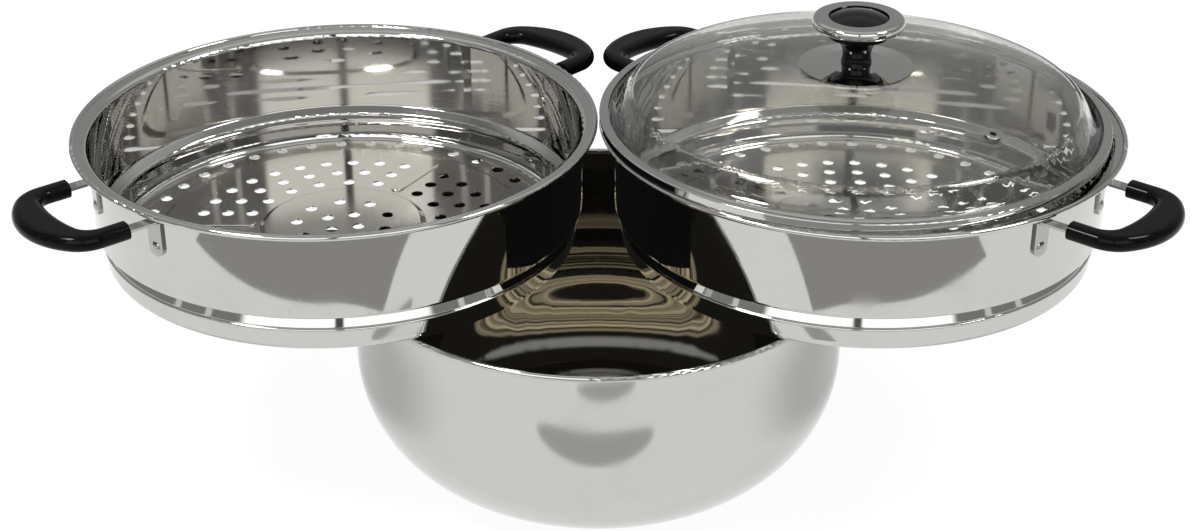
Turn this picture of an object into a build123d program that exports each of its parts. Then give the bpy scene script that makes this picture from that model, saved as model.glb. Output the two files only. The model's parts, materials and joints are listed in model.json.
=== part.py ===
from build123d import *
import math
import os

# A steamer set in millimetres, +Z up, origin at the centre of the pot's flat base.
# X runs to the right along the two tiers, and +Y runs away from the front.

# Pot bowl
pot_wall_radius = 141.6
pot_height = 131.0
pot_corner_radius = 74.5
pot_sheet = 0.9
pot_bead_radius = 1.7

# Steamer tier, measured on the outside of the steel
tier_height = 74.5
tier_sheet = 0.8
tier_lower_radius = 135.6
wall_step = 4.1
flange_width = 9.1
rim_roll_radius = 1.5
flange_rise = 1.2
shoulder_height = 22.0
collar_low_height = 14.4
collar_top_height = 19.2
collar_depth = 2.6
tier_bead_radius = 0.85
tier_bead_height = 13.1
tier_bead_stand_off = 0.3
bottom_corner_radius = 4.2
rim_bend_radius = 2.6
sheet_bend_radius = 0.6

# Tier floor, from the middle outwards, and its three levels above the bottom edge
disc_radius = 45.0
ledge_width = 16.0
foot_width = 14.6
step_slope = 3.0
floor_lift = 5.2
panel_step = 1.3
disc_step = 1.5

# Steam holes
steam_hole_radius = 3.5
ring_hole_pitch = 18.7
disc_inner_ring_radius = 11.0
disc_outer_ring_radius = 27.0
ledge_ring_inset = 5.0
panel_outer_ring_inset = 20.0
panel_inner_ring_room = 5.0
panel_ring_spacing = 14.0
panel_hole_pitch = 16.5

# Ribs between the panels of holes
rib_count = 3
rib_inner_gap = 3.0
rib_outer_gap = 8.0
rib_width = 7.0
rib_height = 1.0
rib_edge_radius = 0.7
rib_hole_margin = 14.5

# Places of the tiers
tier_gap = 0.6
tier_set_back = 19.3
rest_gap = 0.3
left_pattern_turn = 60.0
right_pattern_turn = 29.0

# Loop grips, the same on the pot and on both tiers
grip_drop = 8.5
grip_thickness = 9.5
grip_half_width = 38.0
grip_arm_width = 11.0
grip_gap_to_wall = 13.0
grip_arm_length = 15.3
grip_shoulder_radius = 22.0
grip_tip_radius = 48.0
grip_opening_depth = 18.7
grip_opening_bulge = 4.0
grip_corner_radius = 9.0
grip_edge_radius = 4.6
front_grip_turn = -139.7
back_grip_turn = 48.0

# Steel straps that carry the grips
strap_width = 7.0
strap_sheet = 1.5
strap_tang_length = 9.0
strap_tab_width = 10.0
strap_tab_drop = 19.5
strap_tab_corner_radius = 4.5

# Rivets
rivet_drop = 15.0
rivet_shank_radius = 2.0
rivet_head_radius = 3.3
rivet_head_height = 1.3
rivet_inner_head_height = 0.7

# Lid band and glass; heights are above the tier's rim
lid_push = 4.5
band_inset = 4.6
band_top_height = 5.0
band_bottom_height = 0.4
band_lip_width = 5.0
band_lip_rise = 0.4
band_sheet = 0.6
band_bend_radius = 0.7
skirt_stand_off = 0.9
glass_thickness = 3.0
glass_apex_height = 33.0
glass_edge_width = 18.2
glass_shoulder_height = 17.5
glass_border_width = 5.6
glass_bend_arm = 4.5
glass_inner_inset = 2.0
glass_seat_gap = 0.2

# Vent eyelet
vent_radius = 99.2
vent_turn = -49.0
vent_barrel_radius = 2.9
vent_hole_radius = 1.9
vent_flange_radius = 4.6
vent_flange_height = 0.8
vent_flange_edge_radius = 0.64

# Knob, from the glass up
knob_seal_thickness = 0.6
knob_seal_radius = 15.0
plate_radius = 31.8
plate_flat_radius = 18.0
plate_sheet = 1.2
plate_crown = 1.4
neck_base_radius = 8.6
neck_base_edge = 1.0
neck_waist_radius = 8.0
neck_waist_height = 5.0
neck_top_radius = 17.4
neck_top_height = 22.2
neck_top_edge = 6.0
ring_radius = 25.9
ring_inner_radius = 16.9
ring_depth = 6.0
ring_edge_radius = 2.4
ring_sink = 1.2
cap_radius = 16.3
cap_crown = 3.6
cap_edge = 3.8
screw_shank_radius = 3.0
screw_thread_length = 12.0
screw_head_radius = 5.5
screw_head_height = 3.0
screw_head_edge_radius = 1.0
glass_hole_radius = 4.2
washer_radius = 12.0
washer_sheet = 1.5
under_seal_radius = 13.0
under_seal_thickness = 0.8
under_seal_cup_depth = 0.35
under_seal_gap = 0.05

# How far a cutting tool runs past what it cuts
overrun = 2.0

# Worked-out places and sizes
quarter_turn = math.degrees(math.pi / 2)
tier_wall_radius = tier_lower_radius + wall_step
tier_rim_radius = tier_wall_radius + flange_width
foot_inner_radius = tier_lower_radius - foot_width
ledge_ring_radius = foot_inner_radius - ledge_ring_inset
panel_radius = foot_inner_radius - ledge_width
rib_inner_radius = disc_radius + step_slope + rib_inner_gap
rib_outer_radius = panel_radius - rib_outer_gap
band_radius = tier_rim_radius - band_inset
skirt_radius = tier_wall_radius + skirt_stand_off
glass_shoulder_radius = band_radius - glass_edge_width
tier_base = pot_height + rest_gap
tier_rim = tier_base + tier_height
tier_offset = tier_rim_radius + tier_gap / 2
lid_offset = tier_offset - lid_push
flange_end_radius = tier_rim_radius - rim_roll_radius
flange_low = tier_height - rim_roll_radius - tier_sheet / 2 - flange_rise


def flange_top_at(radius):
    """Height of the flange's upper face above the bottom of its tier."""
    run = (radius - tier_wall_radius) / (flange_end_radius - tier_wall_radius)
    return flange_low + tier_sheet + flange_rise * run


lid_seat = flange_top_at(skirt_radius + lid_push) - tier_height + rest_gap

os.makedirs("parts", exist_ok=True)


def turned(points, gap):
    """Corners of a path moved sideways, to its left, by a gap."""
    runs = [Vector(*b) - Vector(*a) for a, b in zip(points, points[1:])]
    sides = [Vector(-run.Y, run.X).normalized() * gap for run in runs]
    moved = [Vector(*points[0]) + sides[0]]
    for corner, before, after in zip(points[1:-1], sides, sides[1:]):
        bisector = before + after
        moved.append(Vector(*corner) + bisector * (2 * gap * gap / bisector.dot(bisector)))
    moved.append(Vector(*points[-1]) + sides[-1])
    return moved


def sheet_section(points, bends, sheet):
    """Section of bent sheet: the path is one face, the other lies to its left."""
    other = turned(points, sheet)
    near, far = [], []
    for a, b, c, bend in zip(points, points[1:], points[2:], bends):
        first, second = Vector(*b) - Vector(*a), Vector(*c) - Vector(*b)
        turns_left = first.X * second.Y - first.Y * second.X > 0
        near.append(bend + sheet if turns_left else bend)
        far.append(bend if turns_left else bend + sheet)
    one = FilletPolyline(*[Vector(*p) for p in points], radius=near)
    two = FilletPolyline(*other, radius=far)
    ends = [Line(one @ 0, two @ 0), Line(one @ 1, two @ 1)]
    return make_face([*one.edges(), *two.edges(), *ends])


def spun(section):
    """A section drawn as radius and height, turned once round the Z axis."""
    return revolve(Plane.XZ * section, Axis.Z)


def ring_of(inner, outer, low, high):
    """A plain ring between two radii and two heights."""
    body = Cylinder(outer, high - low, align=(Align.CENTER, Align.CENTER, Align.MIN))
    body -= Cylinder(inner, high - low, align=(Align.CENTER, Align.CENTER, Align.MIN))
    return Pos(0, 0, low) * body


def strap_turn(wall_radius):
    """Angle from a grip's middle to the strap at either arm."""
    return math.degrees(math.asin((grip_half_width - grip_arm_width / 2) / wall_radius))


def rivet_axis(wall_radius, turn, height):
    """Frame on a wall at a rivet, with its Z along the outward radius."""
    return Rot(0, 0, turn) * Pos(wall_radius, 0, height) * Rot(0, 90, 0)


def rivet(wall_radius, wall_sheet, turn, height):
    """One rivet through a strap and the wall behind it."""
    inner_end = wall_sheet + rivet_inner_head_height
    low = (Align.CENTER, Align.CENTER, Align.MIN)
    shank = Pos(0, 0, -inner_end) * Cylinder(rivet_shank_radius, inner_end + strap_sheet, align=low)
    cap_sphere = (rivet_head_radius ** 2 + rivet_head_height ** 2) / (2 * rivet_head_height)
    dome = Pos(0, 0, strap_sheet + rivet_head_height - cap_sphere) * Sphere(cap_sphere)
    keep = Pos(0, 0, strap_sheet) * Cylinder(rivet_head_radius, rivet_head_height, align=low)
    hidden = Cylinder(wall_radius - wall_sheet, 2 * rivet_head_radius + 2 * overrun)
    wall = rivet_axis(wall_radius, 0, 0).inverse() * hidden
    inner = Pos(0, 0, -inner_end) * Cylinder(rivet_head_radius, inner_end, align=low)
    return rivet_axis(wall_radius, turn, height) * (shank + (dome & keep) + (inner & wall))


def rivet_hole(wall_radius, turn, height):
    """The hole that a rivet's shank fills."""
    return rivet_axis(wall_radius, turn, height) * Cylinder(rivet_shank_radius, 4 * overrun)


def grip_start(wall_radius):
    """Distance from the vessel's axis to the end faces of a grip's arms."""
    return wall_radius + grip_gap_to_wall


def tang(wall_radius, side):
    """The end of a strap that sits inside a grip's arm."""
    across = side * (grip_half_width - grip_arm_width / 2)
    place = Pos(grip_start(wall_radius) - overrun, across, 0)
    length = strap_tang_length + overrun
    return place * Box(length, strap_width, strap_sheet, align=(Align.MIN, Align.CENTER, Align.CENTER))


def grip(wall_radius):
    """A moulded loop grip, along +X from a wall, centred on its own height."""
    start = grip_start(wall_radius)
    bend = start + grip_arm_length
    inner_half = grip_half_width - grip_arm_width
    deep = start + grip_opening_depth
    across = grip_half_width - grip_shoulder_radius
    spread = grip_tip_radius - grip_shoulder_radius
    back = math.sqrt(spread ** 2 - across ** 2)
    meet = (bend - back + grip_tip_radius * back / spread, grip_tip_radius * across / spread)
    outer = [
        Line((start, -grip_half_width), (bend, -grip_half_width)),
        TangentArc((bend, -grip_half_width), (meet[0], -meet[1]), tangent=(1, 0)),
        ThreePointArc((meet[0], -meet[1]), (bend - back + grip_tip_radius, 0), meet),
        TangentArc((bend, grip_half_width), meet, tangent=(1, 0)),
        Line((bend, grip_half_width), (start, grip_half_width)),
    ]
    inner = [
        Line((start, inner_half), (deep, inner_half)),
        ThreePointArc((deep, inner_half), (deep + grip_opening_bulge, 0), (deep, -inner_half)),
        Line((deep, -inner_half), (start, -inner_half)),
    ]
    ends = [
        Line((start, grip_half_width), (start, inner_half)),
        Line((start, -inner_half), (start, -grip_half_width)),
    ]
    outline = make_face([*outer, ends[0], *inner, ends[1]])
    body = extrude(outline, grip_thickness / 2, both=True)
    corners = [e for e in body.edges().filter_by(Axis.Z) if abs(e.center().X - deep) < overrun]
    body = fillet(corners, grip_corner_radius)
    long_edges = [e for e in body.edges() if abs(abs(e.center().Z) - grip_thickness / 2) < strap_sheet
                  and not (abs(e.center().X - start) < strap_sheet)]
    body = fillet(long_edges, grip_edge_radius)
    for side in (-1, 1):
        body -= tang(wall_radius, side)
    return body


def strap(wall_radius, side):
    """A strap from inside one arm of a grip to the wall, with its riveted tab."""
    across = side * (grip_half_width - grip_arm_width / 2)
    turn = side * strap_turn(wall_radius)
    length = grip_start(wall_radius) + strap_tang_length
    leg = Pos(0, across, 0) * Box(
        length, strap_width, strap_sheet, align=(Align.MIN, Align.CENTER, Align.CENTER))
    leg -= Cylinder(wall_radius + strap_sheet / 2, grip_thickness)
    low = -strap_tab_drop
    plate = Pos(0, 0, low / 2) * Box(
        4 * overrun, strap_tab_width, strap_tab_drop + strap_sheet,
        align=(Align.CENTER, Align.CENTER, Align.CENTER))
    lower = [e for e in plate.edges().filter_by(Axis.X) if e.center().Z < low / 2]
    plate = fillet(lower, strap_tab_corner_radius)
    upper = [e for e in plate.edges().filter_by(Axis.X) if e.center().Z > low / 2]
    plate = fillet(upper, strap_sheet)
    plate = Rot(0, 0, turn) * Pos(wall_radius, 0, 0) * plate
    shell = ring_of(wall_radius, wall_radius + strap_sheet, low - overrun, overrun)
    body = leg + (plate & shell)
    return body - rivet_hole(wall_radius, turn, -rivet_drop)


def grip_set(name, place, wall_radius, rim_height):
    """The grip and both straps at one side of a vessel, by node name."""
    level = Pos(0, 0, rim_height - grip_drop)
    return {
        f"{name}_grip": place * level * grip(wall_radius),
        f"{name}_strap_a": place * level * strap(wall_radius, -1),
        f"{name}_strap_b": place * level * strap(wall_radius, 1),
    }


def rivet_turns(turns, wall_radius):
    """Angles of the rivets of the grips at the given angles."""
    return [turn + side * strap_turn(wall_radius) for turn in turns for side in (-1, 1)]


def rivets(turns, wall_radius, wall_sheet, rim_height):
    """All rivets of one vessel."""
    height = rim_height - grip_drop - rivet_drop
    made = [rivet(wall_radius, wall_sheet, turn, height) for turn in rivet_turns(turns, wall_radius)]
    return Compound(children=[piece.solid() for piece in made])


def pot_bowl(turns):
    """The bowl with its flat base, large corner, straight wall and rolled rim."""
    wall_top = pot_height - pot_bead_radius
    path = [(0, 0), (pot_wall_radius, 0), (pot_wall_radius, wall_top)]
    bowl = spun(sheet_section(path, [pot_corner_radius - pot_sheet], pot_sheet))
    bowl += Pos(0, 0, wall_top) * Torus(pot_wall_radius - pot_sheet / 2, pot_bead_radius)
    height = pot_height - grip_drop - rivet_drop
    for turn in rivet_turns(turns, pot_wall_radius):
        bowl -= rivet_hole(pot_wall_radius, turn, height)
    return bowl


def panel_rings():
    """Radii of the panels' rings of holes, from the outside inwards."""
    outer = panel_radius - panel_outer_ring_inset
    room = outer - disc_radius - step_slope - panel_inner_ring_room
    count = int(room / panel_ring_spacing) + 1
    return [outer - ring * panel_ring_spacing for ring in range(count)]


def panel_ring_turns(radius):
    """Angles of one ring's holes in the panel that follows the first rib."""
    panel = 2 * math.pi * radius / rib_count
    span = panel - 2 * rib_hole_margin
    gaps = int(span / panel_hole_pitch)
    places = [rib_hole_margin + span * k / gaps for k in range(gaps + 1)]
    return [math.degrees(place / radius) for place in places]


def steam_hole_places():
    """Radius and angle of every hole in a tier's floor."""
    places = []
    for radius in (disc_inner_ring_radius, disc_outer_ring_radius, ledge_ring_radius):
        count = round(2 * math.pi * radius / ring_hole_pitch)
        places += [(radius, 360 * k / count) for k in range(count)]
    for radius in panel_rings():
        for rib in range(rib_count):
            start = 360 * rib / rib_count
            places += [(radius, start + turn) for turn in panel_ring_turns(radius)]
    return places


def floor_rib():
    """One raised rib, along +X, standing on the panels."""
    length = rib_outer_radius - rib_inner_radius
    middle = (rib_outer_radius + rib_inner_radius) / 2
    panel_top = floor_lift + panel_step + tier_sheet
    flat = Pos(middle, 0, panel_top) * extrude(SlotOverall(length, rib_width), rib_height)
    top = flat.faces().sort_by(Axis.Z)[-1].edges()
    flat = fillet(top, rib_edge_radius)
    root = Pos(middle, 0, panel_top - tier_sheet / 2) * extrude(
        SlotOverall(length, rib_width), tier_sheet / 2)
    return flat + root


def tier_pan(grip_turns, pattern_turn):
    """One steamer pan: floor, foot, lower wall, bead, collar, wall, flange and rolled rim."""
    panel = floor_lift + panel_step
    disc = panel + disc_step
    path = [
        (0, disc),
        (disc_radius, disc),
        (disc_radius + step_slope, panel),
        (panel_radius, panel),
        (panel_radius + step_slope, floor_lift),
        (foot_inner_radius, floor_lift),
        (foot_inner_radius + step_slope, 0),
        (tier_lower_radius, 0),
        (tier_lower_radius, collar_low_height),
        (tier_lower_radius - collar_depth, collar_top_height),
        (tier_wall_radius, shoulder_height),
        (tier_wall_radius, flange_low),
        (flange_end_radius, flange_low + flange_rise),
    ]
    soft = sheet_bend_radius
    bends = [soft, soft, soft, soft, 2 * soft, 2 * soft, bottom_corner_radius,
             soft, soft, 2 * soft, rim_bend_radius]
    pan = spun(sheet_section(path, bends, tier_sheet))
    roll_height = tier_height - rim_roll_radius
    pan += Pos(0, 0, roll_height) * Torus(flange_end_radius, rim_roll_radius)
    bead_major = tier_lower_radius + tier_bead_stand_off
    pan += Pos(0, 0, tier_bead_height) * Torus(bead_major, tier_bead_radius)
    for rib in range(rib_count):
        pan += Rot(0, 0, 360 * rib / rib_count) * floor_rib()
    drill = Cylinder(steam_hole_radius, 2 * disc + overrun)
    pan -= [Rot(0, 0, turn) * Pos(radius, 0, panel) * drill for radius, turn in steam_hole_places()]
    pan = Rot(0, 0, pattern_turn) * pan
    height = tier_height - grip_drop - rivet_drop
    pan -= [rivet_hole(tier_wall_radius, turn, height)
            for turn in rivet_turns(grip_turns, tier_wall_radius)]
    return pan


def glass_edges(lift):
    """The crown, the bend and the flat border of the glass's face a lift above its underside."""
    inset = glass_inner_inset * (1 - lift / glass_thickness)
    level = band_bottom_height + band_sheet + glass_seat_gap + lift
    apex = Vector(0, glass_apex_height - glass_thickness + lift)
    turn = glass_shoulder_radius - inset
    shoulder = Vector(turn, glass_height(turn) - glass_thickness + lift)
    foot = Vector(band_radius - glass_border_width - inset, level)
    crown = TangentArc(apex, shoulder, tangent=(1, 0))
    arm = (crown % 1) * glass_bend_arm
    bend = Bezier(shoulder, shoulder + arm, foot - Vector(glass_bend_arm, 0), foot)
    border = Line(foot, (band_radius - band_sheet - glass_seat_gap, level))
    return crown, bend, border


def glass_height(radius):
    """Height of the glass's upper face at a radius inside the shoulder."""
    drop = glass_apex_height - glass_shoulder_height
    sphere = (glass_shoulder_radius ** 2 + drop ** 2) / (2 * drop)
    return glass_apex_height - sphere + math.sqrt(sphere ** 2 - radius ** 2)


def glass_slope(radius):
    """Angle of the glass's upper face at a radius, in degrees."""
    drop = glass_apex_height - glass_shoulder_height
    sphere = (glass_shoulder_radius ** 2 + drop ** 2) / (2 * drop)
    return math.degrees(math.asin(radius / sphere))


def vent_place():
    """Frame on the glass at the vent, with its Z square to the glass."""
    height = glass_height(vent_radius)
    return Rot(0, 0, vent_turn) * Pos(vent_radius, 0, height) * Rot(0, glass_slope(vent_radius), 0)


def lid_glass():
    """The domed glass with its screw hole and vent hole."""
    low, high = glass_edges(0), glass_edges(glass_thickness)
    apex = Line(low[0] @ 0, high[0] @ 0)
    rim = Line(low[-1] @ 1, high[-1] @ 1)
    glass = spun(make_face([*low, *high, apex, rim]))
    glass -= Pos(0, 0, glass_apex_height) * Cylinder(glass_hole_radius, 4 * glass_thickness)
    return glass - vent_place() * Cylinder(vent_barrel_radius, 4 * glass_thickness)


def lid_band():
    """The steel band round the glass, with the skirt that stands on the tier's flange."""
    path = [
        (band_radius - band_lip_width, band_top_height + band_lip_rise),
        (band_radius, band_top_height),
        (band_radius, band_bottom_height),
        (skirt_radius, band_bottom_height),
        (skirt_radius, lid_seat),
    ]
    bends = [band_bend_radius, band_bend_radius, band_bend_radius]
    return spun(sheet_section(path, bends, -band_sheet))


def vent_eyelet():
    """A rolled eyelet through the glass."""
    low = (Align.CENTER, Align.CENTER, Align.MIN)
    barrel = Pos(0, 0, -glass_thickness) * Cylinder(vent_barrel_radius, glass_thickness, align=low)
    top = Cylinder(vent_flange_radius, vent_flange_height, align=low)
    top = fillet(top.faces().sort_by(Axis.Z)[-1].edges(), vent_flange_edge_radius)
    under = Pos(0, 0, -glass_thickness - vent_flange_height) * Cylinder(
        vent_flange_radius, vent_flange_height, align=low)
    body = barrel + top + under - Cylinder(vent_hole_radius, 4 * glass_thickness)
    return vent_place() * body


def knob_parts():
    """The knob's pieces from the glass up, and the screw and washer under it."""
    low = (Align.CENTER, Align.CENTER, Align.MIN)
    seal_base = glass_height(knob_seal_radius)
    seal_top = glass_apex_height + knob_seal_thickness
    seal_edge = seal_base + knob_seal_thickness
    seal = spun(make_face([
        ThreePointArc((glass_hole_radius, glass_height(glass_hole_radius)),
                      (knob_seal_radius / 2, glass_height(knob_seal_radius / 2)),
                      (knob_seal_radius, seal_base)),
        Line((knob_seal_radius, seal_base), (knob_seal_radius, seal_top)),
        Line((knob_seal_radius, seal_top), (glass_hole_radius, seal_top)),
        Line((glass_hole_radius, seal_top), (glass_hole_radius, glass_height(glass_hole_radius))),
    ]))
    plate_edge = seal_top - plate_crown
    plate_path = [(screw_shank_radius, seal_top), (plate_flat_radius, seal_top),
                  (plate_radius, plate_edge)]
    plate = spun(sheet_section(plate_path, [sheet_bend_radius], plate_sheet))
    plate_top = seal_top + plate_sheet
    waist = plate_top + neck_waist_height
    top = plate_top + neck_top_height
    neck_low = plate_top + neck_base_edge
    neck_high = top - neck_top_edge
    neck_outline = [
        Line((0, plate_top), (neck_base_radius, plate_top)),
        Line((neck_base_radius, plate_top), (neck_base_radius, neck_low)),
        TangentArc((neck_waist_radius, waist), (neck_base_radius, neck_low), tangent=(0, -1)),
        TangentArc((neck_waist_radius, waist), (neck_top_radius, neck_high), tangent=(0, 1)),
        Line((neck_top_radius, neck_high), (neck_top_radius, top)),
        Line((neck_top_radius, top), (0, top)),
        Line((0, top), (0, plate_top)),
    ]
    neck = spun(make_face(neck_outline))
    screw_top = plate_top + screw_thread_length
    neck -= Pos(0, 0, plate_top) * Cylinder(screw_shank_radius, screw_thread_length, align=low)
    ring_low = top - ring_sink
    ring = ring_of(ring_inner_radius, ring_radius, ring_low, ring_low + ring_depth)
    rims = ring.edges().filter_by(GeomType.CIRCLE)
    ring = fillet([rim for rim in rims if rim.radius > ring_inner_radius + overrun], ring_edge_radius)
    spigot = ring_of(0, ring_inner_radius, ring_low, top)
    neck -= ring_of(ring_inner_radius, neck_top_radius + overrun, ring_low, top + overrun)
    neck += spigot
    cap_low = top
    cap_high = cap_low + cap_edge
    cap = spun(make_face([
        Line((0, cap_low), (cap_radius, cap_low)),
        Line((cap_radius, cap_low), (cap_radius, cap_high)),
        TangentArc((0, cap_high + cap_crown), (cap_radius, cap_high), tangent=(1, 0)),
        Line((0, cap_high + cap_crown), (0, cap_low)),
    ]))
    under = glass_apex_height - glass_thickness
    under_low = under - under_seal_thickness - under_seal_cup_depth
    under_seal = ring_of(glass_hole_radius, under_seal_radius, under_low, under + overrun)
    under_seal = under_seal & Pos(0, 0, -glass_thickness - under_seal_gap) * glass_solid_top()
    washer = ring_of(screw_shank_radius, washer_radius, under_low - washer_sheet, under_low)
    head_low = under_low - washer_sheet - screw_head_height
    screw = Pos(0, 0, head_low) * Cylinder(screw_head_radius, screw_head_height, align=low)
    screw = fillet(screw.faces().sort_by(Axis.Z)[0].edges(), screw_head_edge_radius)
    shank_low = head_low + screw_head_height
    screw += Pos(0, 0, shank_low) * Cylinder(screw_shank_radius, screw_top - shank_low, align=low)
    return {
        "knob_seal": seal,
        "knob_base_plate": plate,
        "knob_neck": neck,
        "knob_ring": ring,
        "knob_cap": cap,
        "knob_lower_seal": under_seal,
        "knob_washer": washer,
        "knob_screw": screw,
    }


def glass_solid_top():
    """Everything below the glass's upper face, to shape what lies against the glass."""
    drop = glass_apex_height - glass_shoulder_height
    sphere = (glass_shoulder_radius ** 2 + drop ** 2) / (2 * drop)
    return Pos(0, 0, glass_apex_height - sphere) * Sphere(sphere)


def write(node, shape):
    """Write one node's solids."""
    export_step(shape, f"parts/{node}.step")


def mirrored(turns):
    """Angles of the same directions on the other side of the set."""
    return [2 * quarter_turn - turn for turn in turns]


def main():
    pot_turns = (2 * quarter_turn, 0.0)
    nodes = {"pot_bowl": pot_bowl(pot_turns)}
    for side, turn in zip(("left", "right"), pot_turns):
        nodes.update(grip_set(f"pot_{side}", Rot(0, 0, turn), pot_wall_radius, pot_height))
    nodes["pot_rivets"] = rivets(pot_turns, pot_wall_radius, pot_sheet, pot_height)

    tier_turns = [front_grip_turn, back_grip_turn]
    tiers = {
        "left": (-1, tier_turns, left_pattern_turn),
        "right": (1, mirrored(tier_turns), right_pattern_turn),
    }
    for side, (sign, turns, pattern) in tiers.items():
        place = Pos(sign * tier_offset, tier_set_back, tier_base)
        nodes[f"{side}_steamer_pan"] = place * tier_pan(turns, pattern)
        for end, turn in zip(("front", "back"), turns):
            nodes.update(grip_set(
                f"{side}_{end}", place * Rot(0, 0, turn), tier_wall_radius, tier_height))
        nodes[f"{side}_rivets"] = place * rivets(turns, tier_wall_radius, tier_sheet, tier_height)

    lid_place = Pos(lid_offset, tier_set_back, tier_rim)
    lid = {"lid_glass": lid_glass(), "lid_band": lid_band(), "vent_eyelet": vent_eyelet()}
    lid.update(knob_parts())
    nodes.update({node: lid_place * shape for node, shape in lid.items()})

    for node, shape in nodes.items():
        write(node, shape)


main()
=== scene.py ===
import json
import math

import bpy
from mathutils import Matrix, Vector

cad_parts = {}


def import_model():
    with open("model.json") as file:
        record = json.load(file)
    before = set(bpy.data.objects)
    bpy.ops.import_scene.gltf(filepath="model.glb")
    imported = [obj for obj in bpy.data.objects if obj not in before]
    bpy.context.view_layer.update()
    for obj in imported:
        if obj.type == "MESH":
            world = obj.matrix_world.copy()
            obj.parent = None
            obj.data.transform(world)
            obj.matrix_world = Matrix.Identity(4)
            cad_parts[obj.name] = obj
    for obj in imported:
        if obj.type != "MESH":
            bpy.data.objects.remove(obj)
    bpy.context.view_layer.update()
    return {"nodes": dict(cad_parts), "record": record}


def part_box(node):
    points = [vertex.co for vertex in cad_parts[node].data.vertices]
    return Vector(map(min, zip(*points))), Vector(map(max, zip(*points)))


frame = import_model()

# Everything below is in metres, with angles in degrees, unless its heading says otherwise.
MM = 0.001

# Camera: its sensor is in millimetres, and the photograph's width and the focal length are in its pixels
PHOTO_WIDTH = 1200
SENSOR_WIDTH = 36.0
FOCAL_PIXELS = 2067.58
CAMERA_PLACE = Vector((0.00085, -1.0595, 0.6817))
CAMERA_PITCH = 27.87

# Colours of the steel
STEEL_COLOUR = (0.535, 0.53, 0.512, 1)
WIPED_COLOUR = (0.49, 0.485, 0.47, 1)
FITTING_COLOUR = (0.40, 0.395, 0.38, 1)
TIER_FLOOR_COLOUR = (0.46, 0.445, 0.405, 1)

# Roughness of the steel, and what wiping, lines and scratches add to it
MIRROR_ROUGHNESS = 0.035
SATIN_ROUGHNESS = 0.075
TIER_FLOOR_ROUGHNESS = 0.17
STRAP_ROUGHNESS = 0.16
RIVET_ROUGHNESS = 0.2
SMALL_FITTING_ROUGHNESS = 0.22
HAZE_ROUGHNESS = 0.05
STREAK_ROUGHNESS = 0.012
SCRATCH_ROUGHNESS = 0.10
FITTING_HAZE_ROUGHNESS = 0.06

# Share of the wiped haze in the colour of the sheet, and on small fittings
HAZE_TINT = 0.55
FITTING_HAZE = 0.8

# Spun and pressed sheet: heights of the ripples and lines, and how many there are to a metre
LINE_HEIGHT = 0.0006 * MM
LINE_COUNT = 650.0
POT_SHEET = dict(ripple=0.03 * MM, ripple_count=9.0, haze=0.7)
TIER_SHEET = dict(ripple=0.06 * MM, ripple_count=13.0)
LID_SHEET = dict(ripple=0.004 * MM, ripple_count=40.0, lines=0.0004 * MM, line_count=1400.0, haze=0.6)
LINE_SWIRL = (0.55, 0.55, 0.0)
LINE_DETAIL = 5.0
LINE_UNEVENNESS = 0.65
STREAK_RANGE = (0.35, 0.7)
RIPPLE_STRETCH = (1.0, 1.0, 0.45)
RIPPLE_DETAIL = 1.2
RIPPLE_UNEVENNESS = 0.45

# Rubbed floor of a tier: how far up it faces, and its radius as a share of the pan's width
LEVEL_RANGE = (0.8, 0.97)
TIER_FLOOR_SHARE = 0.41

# Grain of the small steel fittings
GRAIN_STRETCH = 0.05
GRAIN_COUNT = 2600.0
GRAIN_DETAIL = 3.0
GRAIN_HEIGHT = 0.004 * MM
GRAIN_ROUGHNESS = 0.12

# Wiped clouds, finger marks and scratches
SMEAR_COUNT = 9.0
SMEAR_DETAIL = 2.0
SMEAR_REACH = (0.05, 0.05, 0.05)
CLOUD_COUNT = 22.0
CLOUD_DETAIL = 5.0
CLOUD_UNEVENNESS = 0.6
CLOUD_RANGE = (0.46, 0.78)
FINGER_COUNT = 19.0
FINGER_RANGE = (0.14, 0.24)
FINGER_RARITY = 0.9
FINGER_HAZE = 0.5
SCRATCH_STRETCH = (1.0, 0.12, 0.4)
SCRATCH_COUNT = 900.0
SCRATCH_DETAIL = 2.0
SCRATCH_RANGE = (0.68, 0.74)

# Moulded skin and dust
PEEL_COUNT = 420.0
PEEL_DETAIL = 2.0
BLACK_PEEL = 0.004 * MM
SILICONE_PEEL = 0.01 * MM
DUST_COUNT = 650.0
DUST_RANGE = (0.04, 0.11)
DUST_RARITY = 0.94

# Black mouldings
BLACK_COLOUR = (0.0026, 0.0025, 0.0024, 1)
BLACK_WORN_COLOUR = (0.007, 0.0067, 0.0064, 1)
GRIP_ROUGHNESS = 0.10
GRIP_GLOSS = 0.10
KNOB_ROUGHNESS = 0.05
KNOB_GLOSS = 0.2
SEAM_RANGE = (0.05 * MM, 0.22 * MM)
SEAM_HEIGHT = 0.03 * MM
BLACK_WEAR = 0.5
BLACK_HAZE_ROUGHNESS = 0.10
BLACK_DUST_ROUGHNESS = 0.3

# Glass
GLASS_COLOUR = (0.935, 0.935, 0.905, 1)
GLASS_SMUDGED_COLOUR = (0.89, 0.89, 0.87, 1)
GLASS_IOR = 1.5
GLASS_FILM_ROUGHNESS = 0.012
GLASS_SCRATCH_ROUGHNESS = 0.008
GLASS_WAVE_COUNT = 14.0
GLASS_WAVE_DETAIL = 1.0
GLASS_WAVE_HEIGHT = 0.02 * MM

# Silicone
SILICONE_COLOUR = (0.045, 0.045, 0.045, 1)
SILICONE_DUST_COLOUR = (0.2, 0.2, 0.2, 1)
SILICONE_ROUGHNESS = 0.5
SILICONE_DUST_ROUGHNESS = 0.2

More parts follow.
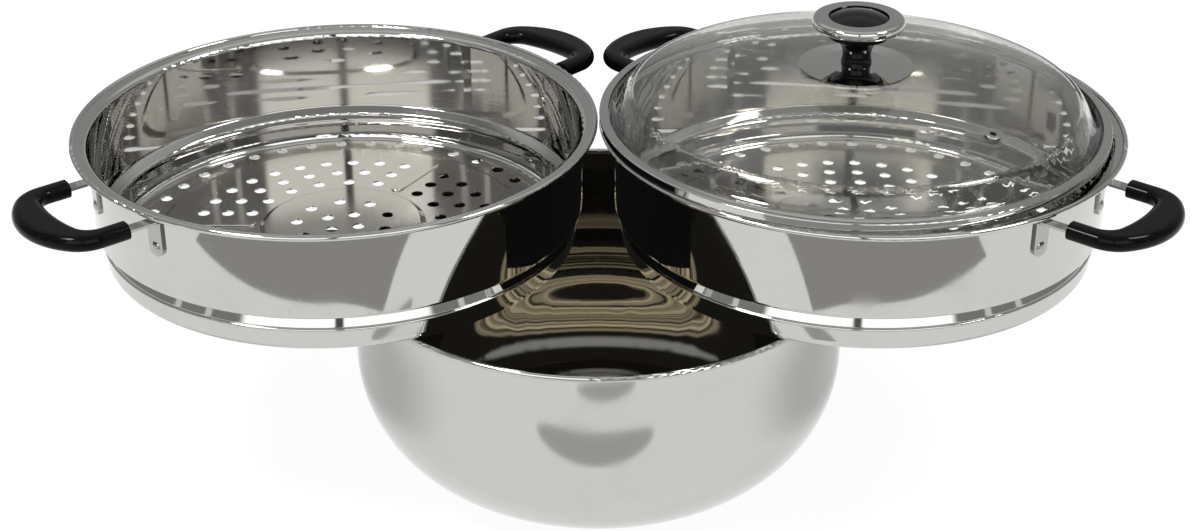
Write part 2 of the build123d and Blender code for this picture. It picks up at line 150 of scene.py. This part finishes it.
# Studio air, floor and lamps; a lamp has a name, a place, a width and a power in watts
WHITE = (1, 1, 1, 1)
AIR_LIGHT = 0.6
FLOOR_DROP = 0.2 * MM
FLOOR_SIZE = 8.0
FLOOR_GLOW = 0.91
FLOOR_PAPER = (0.15, 0.15, 0.15, 1)
LAMPS = (("key_lamp", (-0.9, -0.5, 1.6), 0.45, 16.0), ("fill_lamp", (1.1, -0.2, 1.5), 0.5, 9.0))
LAMP_AIM = Vector((0, 0, 0.15))

# The room that the steel and the glass reflect: turns are from straight in front, rises from the floor
ROOM_RADIUS = 3.0
ROOM_COLUMNS = 48
ROOM_ROWS = 12
EDGE_SHARES = (0.7, 1.3)
BOX_HALF_TURN = 44
BOX_LOW = 12
BOX_HIGH = 48
BOX_SOFT = 2
BOX_LIGHT = 2.0
SLIT_HALF_TURN = 2
SLIT_LIGHT = 0.1
SIDE_LIGHT = 0.30
STRIP_TURNS = (60, 75)
STRIP_HALF_TURN = 1.5
STRIP_LIGHT = 0.9
BACK_TURN = 110
BACK_SOFT = 10
BACK_LOW_RISES = (12, 20)
BACK_HIGH_RISES = (35, 45)
BACK_LOW_LIGHT = 0.48
BACK_MIDDLE_LIGHT = 0.36
BACK_HIGH_LIGHT = 0.70
TOP_RISES = (50, 62)
TOP_LIGHT = 0.50

# Painted shade seen only in reflections: a grey card on the floor in front of the pot, whose edge bows out
# on each side of the middle
CARD_LIFT = 0.5 * MM
REFLECTED_FLOOR_SHADE = (0.40, 0.395, 0.39, 1)
SHADE_CARD_END = -1.2
SHADE_CARD_EDGE = -0.417
SHADE_CARD_BAY = 0.14
SHADE_CARD_CURVE_INSIDE = 2.4
SHADE_CARD_CURVE_OUTSIDE = 0.8
SHADE_CARD_LEFT = -0.55
SHADE_CARD_RIGHT = 0.50
SHADE_CARD_POINTS = 47

# Painted shadows on the floor round the pot, grey patches seen only in reflections: the place of the middle,
# the half size, the grey and the soft edge
REFLECTED_SHADOWS = (
    ((-0.006, -0.2745), (0.106, 0.020), 0.535, 0.12),
    ((0.017, -0.341), (0.068, 0.0125), 0.50, 0.15),
    ((-0.25, 0.04), (0.12, 0.22), 0.68, 0.7),
    ((0.25, 0.04), (0.12, 0.22), 0.68, 0.7))

# A card over the pot's mouth that its bright inside reflects: painted dark shade, with a painted warm ring
# of light and a painted glint
MOUTH_DROP = 1.0 * MM
MOUTH_INSET = 2.6 * MM
MOUTH_POINTS = 64
MOUTH_SHADE = (0.014, 0.013, 0.010, 1)
MOUTH_WARM_REFLECTION = (0.56, 0.48, 0.31, 1)
MOUTH_RING = (0.028, 0.088)
MOUTH_RING_SOFT_INSIDE = 6 * MM
MOUTH_RING_SOFT_OUTSIDE = 3 * MM
MOUTH_STREAK_COUNT = 240.0
MOUTH_STREAK_DETAIL = 3.0
MOUTH_STREAK_RANGE = (0.38, 0.62)
MOUTH_GLINT = (0.30, 0.295, 0.28, 1)
MOUTH_GLINT_HALF = 7 * MM
MOUTH_GLINT_CORE_SHARE = 0.3
MOUTH_GLINT_FROM = 0.092
MOUTH_GLINT_TO = 0.116
MOUTH_GLINT_SOFT = 8 * MM

# Painted shade: a dark card in the gap between the two tiers, seen only in reflections
GAP_SHADE_DARK = (0.006, 0.006, 0.006, 1)
GAP_SHADE_FRONT = -0.08
GAP_SHADE_BACK = 0.25
GAP_SHADE_LOW = 0.135
GAP_SHADE_TOP = 0.203


def link(obj):
    """Put an object in the scene."""
    bpy.context.scene.collection.objects.link(obj)
    return obj


def mesh_object(name, points, faces):
    """A mesh object from points in metres."""
    mesh = bpy.data.meshes.new(name)
    mesh.from_pydata([tuple(point) for point in points], [], faces)
    mesh.update()
    return link(bpy.data.objects.new(name, mesh))


def oblong(middle, half, height):
    """Corners of a level oblong."""
    (x, y), (wide, deep) = middle, half
    return [(x - wide, y - deep, height), (x + wide, y - deep, height),
            (x + wide, y + deep, height), (x - wide, y + deep, height)]


def put(tree, socket, value):
    """Give a socket a value, or the output that feeds it."""
    if isinstance(value, bpy.types.NodeSocket):
        tree.links.new(value, socket)
    else:
        socket.default_value = value


def node(tree, kind, inputs=None, **settings):
    """A node with its settings, and its inputs by name."""
    made = tree.nodes.new("ShaderNode" + kind)
    for name, value in settings.items():
        setattr(made, name, value)
    for name, value in (inputs or {}).items():
        put(tree, made.inputs[name], value)
    return made


def maths(tree, operation, *values):
    """The result of one sum of numbers."""
    made = node(tree, "Math", operation=operation)
    for socket, value in zip(made.inputs, values):
        put(tree, socket, value)
    return made.outputs["Value"]


def vectors(tree, operation, *values, out="Vector"):
    """The result of one sum of vectors."""
    made = node(tree, "VectorMath", operation=operation)
    for socket, value in zip(made.inputs, values):
        put(tree, socket, value)
    return made.outputs[out]


def between(tree, value, low, high, to_low=0.0, to_high=1.0):
    """A value moved smoothly from one range to another."""
    made = node(tree, "MapRange", interpolation_type="SMOOTHSTEP", inputs={
        "Value": value, "From Min": low, "From Max": high, "To Min": to_low, "To Max": to_high})
    return made.outputs["Result"]


def below(tree, value, low, high):
    """One under a range, and smoothly down to zero over it."""
    return between(tree, value, low, high, 1.0, 0.0)


def mixed(tree, factor, first, second):
    """Two values mixed by a factor."""
    made = node(tree, "Mix", data_type="FLOAT")
    sockets = [socket for socket in made.inputs if socket.type == "VALUE" and socket.enabled]
    for socket, value in zip(sockets, (factor, first, second)):
        put(tree, socket, value)
    return [socket for socket in made.outputs if socket.enabled][0]


def blend_colours(tree, factor, first, second):
    """Two colours mixed by a factor."""
    made = node(tree, "Mix", data_type="RGBA")
    sockets = [socket for socket in made.inputs if socket.type == "RGBA"]
    put(tree, made.inputs["Factor"], factor)
    put(tree, sockets[0], first)
    put(tree, sockets[1], second)
    return [socket for socket in made.outputs if socket.type == "RGBA"][0]


def noise(tree, place, count, detail, unevenness=0.5):
    """A noise texture."""
    return node(tree, "TexNoise", {
        "Vector": place, "Scale": count, "Detail": detail, "Roughness": unevenness})


def bumped(tree, height):
    """The normal of a surface with a height in metres."""
    return node(tree, "Bump", {"Strength": 1.0, "Distance": 1.0, "Height": height}).outputs["Normal"]


def split(tree, place):
    """The three parts of a place."""
    return node(tree, "SeparateXYZ", {"Vector": place}).outputs


def flattened(tree, place):
    """A place without its height."""
    return vectors(tree, "MULTIPLY", place, (1.0, 1.0, 0.0))


def length(tree, place):
    """The length of a vector."""
    return vectors(tree, "LENGTH", place, out="Value")


def shader_group(name, inputs, outputs):
    """An empty node group, with its inner input and output nodes."""
    tree = bpy.data.node_groups.new(name, "ShaderNodeTree")
    for label, kind in inputs:
        tree.interface.new_socket(name=label, in_out="INPUT", socket_type="NodeSocket" + kind)
    for label, kind in outputs:
        tree.interface.new_socket(name=label, in_out="OUTPUT", socket_type="NodeSocket" + kind)
    return tree, tree.nodes.new("NodeGroupInput").outputs, tree.nodes.new("NodeGroupOutput").inputs


def make_spun_sheet():
    """Spun and pressed sheet: slow ripples of the surface, and fine lines round an axis."""
    tree, given, result = shader_group(
        "spun_sheet",
        [("Place", "Vector"), ("Centre", "Vector"), ("Ripple", "Float"), ("Ripple Count", "Float"),
         ("Lines", "Float"), ("Line Count", "Float")],
        [("Normal", "Vector"), ("Streaks", "Float")])
    local = vectors(tree, "SUBTRACT", given["Place"], given["Centre"])
    flat = flattened(tree, local)
    along = maths(tree, "ADD", length(tree, flat), split(tree, local)["Z"])
    ring = node(tree, "CombineXYZ", {"Z": maths(tree, "MULTIPLY", along, given["Line Count"])}).outputs[0]
    way = vectors(tree, "NORMALIZE", flat)
    turn = vectors(tree, "ADD", ring, vectors(tree, "MULTIPLY", way, LINE_SWIRL))
    lines = noise(tree, turn, 1.0, LINE_DETAIL, LINE_UNEVENNESS).outputs["Fac"]
    wave_place = vectors(tree, "MULTIPLY", local, RIPPLE_STRETCH)
    wave = noise(tree, wave_place, given["Ripple Count"], RIPPLE_DETAIL, RIPPLE_UNEVENNESS).outputs["Fac"]
    height = maths(tree, "MULTIPLY", wave, given["Ripple"])
    height = maths(tree, "MULTIPLY_ADD", lines, given["Lines"], height)
    put(tree, result["Normal"], bumped(tree, height))
    put(tree, result["Streaks"], between(tree, lines, *STREAK_RANGE))
    return tree


def make_handling():
    """What hands and cloths leave: soft wiped clouds, a few finger marks and fine scratches."""
    tree, given, result = shader_group(
        "handling", [("Place", "Vector"), ("Amount", "Float")], [("Haze", "Float"), ("Scratches", "Float")])
    smear = noise(tree, given["Place"], SMEAR_COUNT, SMEAR_DETAIL).outputs["Color"]
    moved = vectors(tree, "MULTIPLY_ADD", smear, SMEAR_REACH, given["Place"])
    clouds = noise(tree, moved, CLOUD_COUNT, CLOUD_DETAIL, CLOUD_UNEVENNESS).outputs["Fac"]
    haze = between(tree, clouds, *CLOUD_RANGE)
    dots = node(tree, "TexVoronoi", {"Vector": moved, "Scale": FINGER_COUNT})
    finger = below(tree, dots.outputs["Distance"], *FINGER_RANGE)
    pick = node(tree, "SeparateColor", {"Color": dots.outputs["Color"]})
    rare = maths(tree, "GREATER_THAN", pick.outputs[0], FINGER_RARITY)
    finger = maths(tree, "MULTIPLY", maths(tree, "MULTIPLY", finger, rare), FINGER_HAZE)
    haze = maths(tree, "MULTIPLY", maths(tree, "MAXIMUM", haze, finger), given["Amount"])
    put(tree, result["Haze"], haze)
    stretched = vectors(tree, "MULTIPLY", moved, SCRATCH_STRETCH)
    marks = noise(tree, stretched, SCRATCH_COUNT, SCRATCH_DETAIL).outputs["Fac"]
    scratch = between(tree, marks, *SCRATCH_RANGE)
    put(tree, result["Scratches"], maths(tree, "MULTIPLY", scratch, given["Amount"]))
    return tree


def make_moulded_skin():
    """Moulded surface: a faint orange peel and sparse specks of dust."""
    tree, given, result = shader_group(
        "moulded_skin", [("Place", "Vector"), ("Peel", "Float")], [("Height", "Float"), ("Dust", "Float")])
    peel = noise(tree, given["Place"], PEEL_COUNT, PEEL_DETAIL).outputs["Fac"]
    put(tree, result["Height"], maths(tree, "MULTIPLY", peel, given["Peel"]))
    cells = node(tree, "TexVoronoi", {"Vector": given["Place"], "Scale": DUST_COUNT})
    near = below(tree, cells.outputs["Distance"], *DUST_RANGE)
    pick = node(tree, "SeparateColor", {"Color": cells.outputs["Color"]})
    rare = maths(tree, "GREATER_THAN", pick.outputs[0], DUST_RARITY)
    put(tree, result["Dust"], maths(tree, "MULTIPLY", near, rare))
    return tree


spun_sheet = make_spun_sheet()
handling = make_handling()
moulded_skin = make_moulded_skin()


def use(tree, group, **inputs):
    """One use of a node group, with its inputs by name; a space is written as an underscore."""
    made = node(tree, "Group", node_tree=group)
    for name, value in inputs.items():
        put(tree, made.inputs[name.replace("_", " ")], value)
    return made.outputs


def cleared(owner):
    """The empty node tree of a material or world."""
    owner.use_nodes = True
    owner.node_tree.nodes.clear()
    return owner.node_tree


def show(tree, surface, kind="Material"):
    """Send a shader to the output."""
    put(tree, node(tree, "Output" + kind).inputs["Surface"], surface)


def new_material(name):
    """A material with one Principled shader, and its object coordinates."""
    material = bpy.data.materials.new(name)
    tree = cleared(material)
    shader = node(tree, "BsdfPrincipled")
    show(tree, shader.outputs["BSDF"])
    place = node(tree, "TexCoord").outputs["Object"]
    return material, tree, shader, place


def source(socket):
    """The output that feeds a socket."""
    return socket.links[0].from_socket


def spun_steel(name, centre, ripple, ripple_count, lines=LINE_HEIGHT, line_count=LINE_COUNT, haze=1.0):
    """Polished stainless sheet spun round an upright axis."""
    material, tree, shader, place = new_material(name)
    sheet = use(tree, spun_sheet, Place=place, Centre=centre, Ripple=ripple, Ripple_Count=ripple_count,
                Lines=lines, Line_Count=line_count)
    hands = use(tree, handling, Place=place, Amount=haze)
    shader.inputs["Metallic"].default_value = 1.0
    wiped = maths(tree, "MULTIPLY", hands["Haze"], HAZE_TINT)
    put(tree, shader.inputs["Base Color"], blend_colours(tree, wiped, STEEL_COLOUR, WIPED_COLOUR))
    rough = maths(tree, "MULTIPLY_ADD", hands["Haze"], HAZE_ROUGHNESS, MIRROR_ROUGHNESS)
    rough = maths(tree, "MULTIPLY_ADD", sheet["Streaks"], STREAK_ROUGHNESS, rough)
    rough = maths(tree, "MULTIPLY_ADD", hands["Scratches"], SCRATCH_ROUGHNESS, rough)
    put(tree, shader.inputs["Roughness"], rough)
    put(tree, shader.inputs["Normal"], sheet["Normal"])
    return material, tree, shader, place


def pot_steel(centre):
    """The bowl: a soft satin outside and a bright inside."""
    material, tree, shader, place = spun_steel("pot_bowl_steel", centre, **POT_SHEET)
    facing = node(tree, "TexCoord").outputs["Normal"]
    outward = vectors(tree, "DOT_PRODUCT", vectors(tree, "SUBTRACT", place, centre), facing, out="Value")
    outside = maths(tree, "GREATER_THAN", outward, 0.0)
    extra = SATIN_ROUGHNESS - MIRROR_ROUGHNESS
    rough = source(shader.inputs["Roughness"])
    put(tree, shader.inputs["Roughness"], maths(tree, "MULTIPLY_ADD", outside, extra, rough))
    return material


def tier_steel(name, centre, floor_radius):
    """A pan: bright walls, and a floor that is rubbed softer and warmer."""
    material, tree, shader, place = spun_steel(name, centre, **TIER_SHEET)
    facing = split(tree, node(tree, "TexCoord").outputs["Normal"])
    level = between(tree, facing["Z"], *LEVEL_RANGE)
    radius = length(tree, flattened(tree, vectors(tree, "SUBTRACT", place, centre)))
    rubbed = maths(tree, "MULTIPLY", level, maths(tree, "LESS_THAN", radius, floor_radius))
    extra = TIER_FLOOR_ROUGHNESS - MIRROR_ROUGHNESS
    rough = source(shader.inputs["Roughness"])
    put(tree, shader.inputs["Roughness"], maths(tree, "MULTIPLY_ADD", rubbed, extra, rough))
    tint = blend_colours(tree, rubbed, source(shader.inputs["Base Color"]), TIER_FLOOR_COLOUR)
    put(tree, shader.inputs["Base Color"], tint)
    return material


def brushed_steel(name, way, roughness):
    """Small steel fittings; the grain runs along each axis that is 1 in the way."""
    material, tree, shader, place = new_material(name)
    stretch = tuple(GRAIN_STRETCH if part else 1.0 for part in way)
    grain_place = vectors(tree, "MULTIPLY", place, stretch)
    grain = noise(tree, grain_place, GRAIN_COUNT, GRAIN_DETAIL).outputs["Fac"]
    hands = use(tree, handling, Place=place, Amount=FITTING_HAZE)
    shader.inputs["Metallic"].default_value = 1.0
    put(tree, shader.inputs["Base Color"], blend_colours(tree, hands["Haze"], FITTING_COLOUR, WIPED_COLOUR))
    rough = maths(tree, "MULTIPLY_ADD", grain, GRAIN_ROUGHNESS, roughness - GRAIN_ROUGHNESS / 2)
    rough = maths(tree, "MULTIPLY_ADD", hands["Haze"], FITTING_HAZE_ROUGHNESS, rough)
    put(tree, shader.inputs["Roughness"], rough)
    put(tree, shader.inputs["Normal"], bumped(tree, maths(tree, "MULTIPLY", grain, GRAIN_HEIGHT)))
    return material


def black_moulding(name, roughness, gloss, seam_height=None):
    """Glossy black phenolic, with the thin seam of its mould where it has one."""
    material, tree, shader, place = new_material(name)
    skin = use(tree, moulded_skin, Place=place, Peel=BLACK_PEEL)
    hands = use(tree, handling, Place=place, Amount=1.0)
    height = skin["Height"]
    if seam_height is not None:
        off = maths(tree, "ABSOLUTE", maths(tree, "SUBTRACT", split(tree, place)["Z"], seam_height))
        seam = below(tree, off, *SEAM_RANGE)
        height = maths(tree, "MULTIPLY_ADD", seam, SEAM_HEIGHT, height)
    worn = maths(tree, "MAXIMUM", maths(tree, "MULTIPLY", hands["Haze"], BLACK_WEAR), skin["Dust"])
    put(tree, shader.inputs["Base Color"], blend_colours(tree, worn, BLACK_COLOUR, BLACK_WORN_COLOUR))
    rough = maths(tree, "MULTIPLY_ADD", hands["Haze"], BLACK_HAZE_ROUGHNESS, roughness)
    rough = maths(tree, "MULTIPLY_ADD", skin["Dust"], BLACK_DUST_ROUGHNESS, rough)
    put(tree, shader.inputs["Roughness"], rough)
    shader.inputs["Specular IOR Level"].default_value = gloss
    put(tree, shader.inputs["Normal"], bumped(tree, height))
    return material


def lid_glass_material():
    """Clear tempered glass with a faint wiped film."""
    material, tree, shader, place = new_material("lid_glass")
    hands = use(tree, handling, Place=place, Amount=1.0)
    put(tree, shader.inputs["Base Color"],
        blend_colours(tree, hands["Haze"], GLASS_COLOUR, GLASS_SMUDGED_COLOUR))
    film = maths(tree, "MULTIPLY", hands["Haze"], GLASS_FILM_ROUGHNESS)
    film = maths(tree, "MULTIPLY_ADD", hands["Scratches"], GLASS_SCRATCH_ROUGHNESS, film)
    put(tree, shader.inputs["Roughness"], film)
    shader.inputs["Transmission Weight"].default_value = 1.0
    shader.inputs["IOR"].default_value = GLASS_IOR
    wave = noise(tree, place, GLASS_WAVE_COUNT, GLASS_WAVE_DETAIL).outputs["Fac"]
    put(tree, shader.inputs["Normal"], bumped(tree, maths(tree, "MULTIPLY", wave, GLASS_WAVE_HEIGHT)))
    return material


def silicone():
    """Matt silicone with a little dust."""
    material, tree, shader, place = new_material("silicone")
    skin = use(tree, moulded_skin, Place=place, Peel=SILICONE_PEEL)
    tint = blend_colours(tree, skin["Dust"], SILICONE_COLOUR, SILICONE_DUST_COLOUR)
    put(tree, shader.inputs["Base Color"], tint)
    rough = maths(tree, "MULTIPLY_ADD", skin["Dust"], SILICONE_DUST_ROUGHNESS, SILICONE_ROUGHNESS)
    put(tree, shader.inputs["Roughness"], rough)
    put(tree, shader.inputs["Normal"], bumped(tree, skin["Height"]))
    return material


def centre_of(name):
    """Middle of a node's box."""
    low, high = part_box(name)
    return (low + high) / 2


def pan_steel(side):
    """The finish of one tier's pan."""
    pan = f"{side}_steamer_pan"
    low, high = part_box(pan)
    middle = centre_of(pan)
    middle.z = low.z
    return tier_steel(f"{side}_pan_steel", middle, TIER_FLOOR_SHARE * (high.x - low.x))


def dress():
    """Give every carried-over node its finish."""
    made = {"pot_bowl": pot_steel(centre_of("pot_bowl"))}
    for side in ("left", "right"):
        made[f"{side}_steamer_pan"] = pan_steel(side)
    for name in ("lid_band", "knob_base_plate", "knob_ring"):
        made[name] = spun_steel(f"{name}_steel", centre_of("lid_band"), **LID_SHEET)[0]
    made["lid_glass"] = lid_glass_material()
    strap = brushed_steel("strap_steel", (0, 0, 1), STRAP_ROUGHNESS)
    rivet = brushed_steel("rivet_steel", (1, 1, 0), RIVET_ROUGHNESS)
    small = brushed_steel("fitting_steel", (0, 0, 1), SMALL_FITTING_ROUGHNESS)
    seal = silicone()
    for row in frame["record"]["subparts"]:
        name = row["node"]
        if name in made:
            finish = made[name]
        elif name.endswith("_grip"):
            finish = black_moulding(f"{name}_black", GRIP_ROUGHNESS, GRIP_GLOSS, centre_of(name).z)
        elif row["material_slot"] == "black_phenolic":
            finish = black_moulding(f"{name}_black", KNOB_ROUGHNESS, KNOB_GLOSS)
        elif row["material_slot"] == "silicone":
            finish = seal
        elif "_strap_" in name:
            finish = strap
        elif name.endswith("_rivets"):
            finish = rivet
        else:
            finish = small
        obj = frame["nodes"][name]
        obj.data.materials.clear()
        obj.data.materials.append(finish)


def ray_mask(tree):
    """One where a camera, glossy or transmission ray looks, for the plain white background."""
    path = node(tree, "LightPath").outputs
    either = maths(tree, "MAXIMUM", path["Is Camera Ray"], path["Is Glossy Ray"])
    return maths(tree, "MAXIMUM", either, path["Is Transmission Ray"])


def world():
    """Plain studio air: white where it is seen, soft grey as light."""
    made = bpy.data.worlds.new("studio")
    bpy.context.scene.world = made
    tree = cleared(made)
    strength = between(tree, ray_mask(tree), 0.0, 1.0, AIR_LIGHT, 1.0)
    show(tree, node(tree, "Background", {"Color": WHITE, "Strength": strength}).outputs[0], "World")


def floor():
    """A pale floor that shows white and keeps a soft shadow."""
    half = FLOOR_SIZE / 2
    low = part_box("pot_bowl")[0].z - FLOOR_DROP
    obj = mesh_object("floor", oblong((0, 0), (half, half), low), [(0, 1, 2, 3)])
    material = bpy.data.materials.new("white_floor")
    tree = cleared(material)
    light = maths(tree, "MULTIPLY", ray_mask(tree), FLOOR_GLOW)
    both = node(tree, "AddShader")
    put(tree, both.inputs[0], node(tree, "Emission", {"Color": WHITE, "Strength": light}).outputs[0])
    put(tree, both.inputs[1], node(tree, "BsdfDiffuse", {"Color": FLOOR_PAPER}).outputs[0])
    show(tree, both.outputs[0])
    obj.data.materials.append(material)


def card(name, points, faces, light, cover=None, glass=False):
    """A studio card seen only in reflections, or through glass too; its light is a colour or a function."""
    obj = mesh_object(name, points, faces)
    material = bpy.data.materials.new(name)
    tree = cleared(material)
    colour = light(tree) if callable(light) else light
    surface = node(tree, "Emission", {"Color": colour, "Strength": 1.0}).outputs[0]
    if cover:
        mix = node(tree, "MixShader", {"Fac": cover(tree)})
        put(tree, mix.inputs[1], node(tree, "BsdfTransparent").outputs[0])
        put(tree, mix.inputs[2], surface)
        surface = mix.outputs[0]
    show(tree, surface)
    obj.data.materials.append(material)
    obj.visible_camera = False
    obj.visible_diffuse = False
    obj.visible_transmission = glass
    obj.visible_shadow = False


def near_turn(tree, turn, half, inside, outside):
    """One light inside a half turn and another outside it, with a soft edge."""
    low, high = (half * share for share in EDGE_SHARES)
    return between(tree, turn, low, high, inside, outside)


def room_light(tree):
    """Grey walls and ceiling, a soft box over the camera and light strips at the sides."""
    parts = split(tree, node(tree, "TexCoord").outputs["Object"])
    front = maths(tree, "MULTIPLY", parts["Y"], -1.0)
    turn = maths(tree, "DEGREES", maths(tree, "ABSOLUTE", maths(tree, "ARCTAN2", parts["X"], front)))
    rise = maths(tree, "DEGREES", maths(tree, "ARCSINE", maths(tree, "DIVIDE", parts["Z"], ROOM_RADIUS)))
    back = between(tree, rise, *BACK_LOW_RISES, BACK_LOW_LIGHT, BACK_MIDDLE_LIGHT)
    gain = between(tree, rise, *BACK_HIGH_RISES, 0.0, BACK_HIGH_LIGHT - BACK_MIDDLE_LIGHT)
    back = maths(tree, "ADD", back, gain)
    side = SIDE_LIGHT
    for strip in STRIP_TURNS:
        off = maths(tree, "ABSOLUTE", maths(tree, "SUBTRACT", turn, strip))
        side = maths(tree, "ADD", near_turn(tree, off, STRIP_HALF_TURN, STRIP_LIGHT - SIDE_LIGHT, 0.0), side)
    side = mixed(tree, between(tree, rise, *TOP_RISES), side, TOP_LIGHT)
    light = mixed(tree, between(tree, turn, BACK_TURN - BACK_SOFT, BACK_TURN + BACK_SOFT), side, back)
    box = below(tree, turn, BOX_HALF_TURN - BOX_SOFT, BOX_HALF_TURN + BOX_SOFT)
    box = maths(tree, "MULTIPLY", box, between(tree, rise, BOX_LOW - BOX_SOFT, BOX_LOW + BOX_SOFT))
    box = maths(tree, "MULTIPLY", box, below(tree, rise, BOX_HIGH - BOX_SOFT, BOX_HIGH + BOX_SOFT))
    light = mixed(tree, box, light, near_turn(tree, turn, SLIT_HALF_TURN, SLIT_LIGHT, BOX_LIGHT))
    bounced = maths(tree, "GREATER_THAN", node(tree, "LightPath").outputs["Glossy Depth"], 0.5)
    return mixed(tree, bounced, 1.0, light)


def room():
    """A room that only shows in reflections, and stays plain white straight through the glass."""
    points, faces = [], []
    for row in range(ROOM_ROWS + 1):
        rise = math.radians(90 * row / ROOM_ROWS)
        for column in range(ROOM_COLUMNS):
            turn = 2 * math.pi * column / ROOM_COLUMNS
            flat = ROOM_RADIUS * math.cos(rise)
            points.append((flat * math.cos(turn), flat * math.sin(turn), ROOM_RADIUS * math.sin(rise)))
    for row in range(ROOM_ROWS):
        start = row * ROOM_COLUMNS
        for column in range(ROOM_COLUMNS):
            one, two = start + column, start + (column + 1) % ROOM_COLUMNS
            faces.append((one, two, two + ROOM_COLUMNS, one + ROOM_COLUMNS))
    card("room", points, faces, room_light, glass=True)


def oval(soft):
    """The cover of a card that shows as an oval with a soft edge."""
    def cover(tree):
        place = node(tree, "TexCoord").outputs["Generated"]
        out = vectors(tree, "SUBTRACT", place, (0.5, 0.5, 0.0))
        flat = vectors(tree, "MULTIPLY", out, (2.0, 2.0, 0.0))
        return below(tree, length(tree, flat), 1.0 - soft, 1.0)

    return cover


def reflected_shadows():
    """Painted shadows: the grey patches on the floor round the pot, which only reflections show."""
    for count, (middle, half, grey, soft) in enumerate(REFLECTED_SHADOWS):
        # Each painted shadow is a grey oval card that the camera never sees.
        card(f"reflected_shadow_{count}", oblong(middle, half, CARD_LIFT), [(0, 1, 2, 3)], (grey, grey, grey, 1),
             cover=oval(soft))


def mouth_light(tree):
    """Painted shade near black, with a painted warm reflection: a ring of uneven light, and a small painted
    glint behind it.
    """
    place = node(tree, "TexCoord").outputs["Object"]
    radius = length(tree, flattened(tree, place))
    inner, outer = MOUTH_RING
    ring = maths(tree, "MULTIPLY", between(tree, radius, inner, inner + MOUTH_RING_SOFT_INSIDE),
                 below(tree, radius, outer - MOUTH_RING_SOFT_OUTSIDE, outer))
    at = node(tree, "CombineXYZ", {"X": maths(tree, "MULTIPLY", radius, MOUTH_STREAK_COUNT)}).outputs[0]
    streaks = noise(tree, at, 1.0, MOUTH_STREAK_DETAIL).outputs["Fac"]
    bright = maths(tree, "MULTIPLY", ring, between(tree, streaks, *MOUTH_STREAK_RANGE))
    # Painted warm reflection ring over painted dark shade.
    warm = blend_colours(tree, bright, MOUTH_SHADE, MOUTH_WARM_REFLECTION)
    parts = split(tree, place)
    beside = below(tree, maths(tree, "ABSOLUTE", parts["X"]), MOUTH_GLINT_CORE_SHARE * MOUTH_GLINT_HALF,
                   MOUTH_GLINT_HALF)
    along = maths(tree, "MULTIPLY",
                  between(tree, parts["Y"], MOUTH_GLINT_FROM, MOUTH_GLINT_FROM + MOUTH_GLINT_SOFT),
                  below(tree, parts["Y"], MOUTH_GLINT_TO - MOUTH_GLINT_SOFT, MOUTH_GLINT_TO))
    # Painted glint where light comes in between the tiers.
    return blend_colours(tree, maths(tree, "MULTIPLY", beside, along), warm, MOUTH_GLINT)


def mouth():
    """The card over the pot's mouth, seen only in reflections, with its painted shade, warm ring and glint.
    """
    low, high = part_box("pot_bowl")
    reach = (high.x - low.x) / 2 - MOUTH_INSET
    middle = centre_of("pot_bowl")
    points = []
    for k in range(MOUTH_POINTS):
        turn = 2 * math.pi * k / MOUTH_POINTS
        points.append((middle.x + reach * math.cos(turn), middle.y + reach * math.sin(turn),
                       high.z - MOUTH_DROP))
    card("mouth", points, [tuple(range(MOUTH_POINTS))], mouth_light)


def reflected_floor_shade():
    """Painted shade seen only in reflections: a grey card on the floor up to its curved edge in front of the
    pot.
    """
    points = []
    for k in range(SHADE_CARD_POINTS):
        x = SHADE_CARD_LEFT + (SHADE_CARD_RIGHT - SHADE_CARD_LEFT) * k / (SHADE_CARD_POINTS - 1)
        off = abs(x) - SHADE_CARD_BAY
        curve = SHADE_CARD_CURVE_INSIDE if off < 0 else SHADE_CARD_CURVE_OUTSIDE
        points += [(x, SHADE_CARD_EDGE + curve * off * off, CARD_LIFT), (x, SHADE_CARD_END, CARD_LIFT)]
    faces = [(2 * k, 2 * k + 1, 2 * k + 3, 2 * k + 2) for k in range(SHADE_CARD_POINTS - 1)]
    # Painted shade that shows only in the reflections of the steel.
    card("reflected_floor_shade", points, faces, REFLECTED_FLOOR_SHADE)


def gap_shade_card():
    """Painted shade: the dark card in the gap between the two tiers, seen only in reflections."""
    points = [(0, GAP_SHADE_FRONT, GAP_SHADE_LOW), (0, GAP_SHADE_BACK, GAP_SHADE_LOW),
              (0, GAP_SHADE_BACK, GAP_SHADE_TOP), (0, GAP_SHADE_FRONT, GAP_SHADE_TOP)]
    # Painted shade that the facing sides of the tiers reflect.
    card("gap_shade_card", points, [(0, 1, 2, 3)], GAP_SHADE_DARK)


def lamps():
    """Soft lamps over the set."""
    for name, place, width, power in LAMPS:
        data = bpy.data.lights.new(name, "AREA")
        data.shape = "DISK"
        data.size = width
        data.energy = power
        obj = link(bpy.data.objects.new(name, data))
        obj.location = place
        aim = LAMP_AIM - Vector(place)
        obj.rotation_euler = aim.to_track_quat("-Z", "Y").to_euler()


def camera():
    """The photograph's view."""
    data = bpy.data.cameras.new("camera")
    data.sensor_width = SENSOR_WIDTH
    data.lens = FOCAL_PIXELS / PHOTO_WIDTH * SENSOR_WIDTH
    obj = link(bpy.data.objects.new("camera", data))
    obj.location = CAMERA_PLACE
    obj.rotation_euler = (math.radians(90 - CAMERA_PITCH), 0, 0)
    bpy.context.scene.camera = obj


camera()
world()
floor()
room()
reflected_floor_shade()
reflected_shadows()
mouth()
gap_shade_card()
lamps()
dress()
bpy.context.scene.view_settings.view_transform = "Standard"
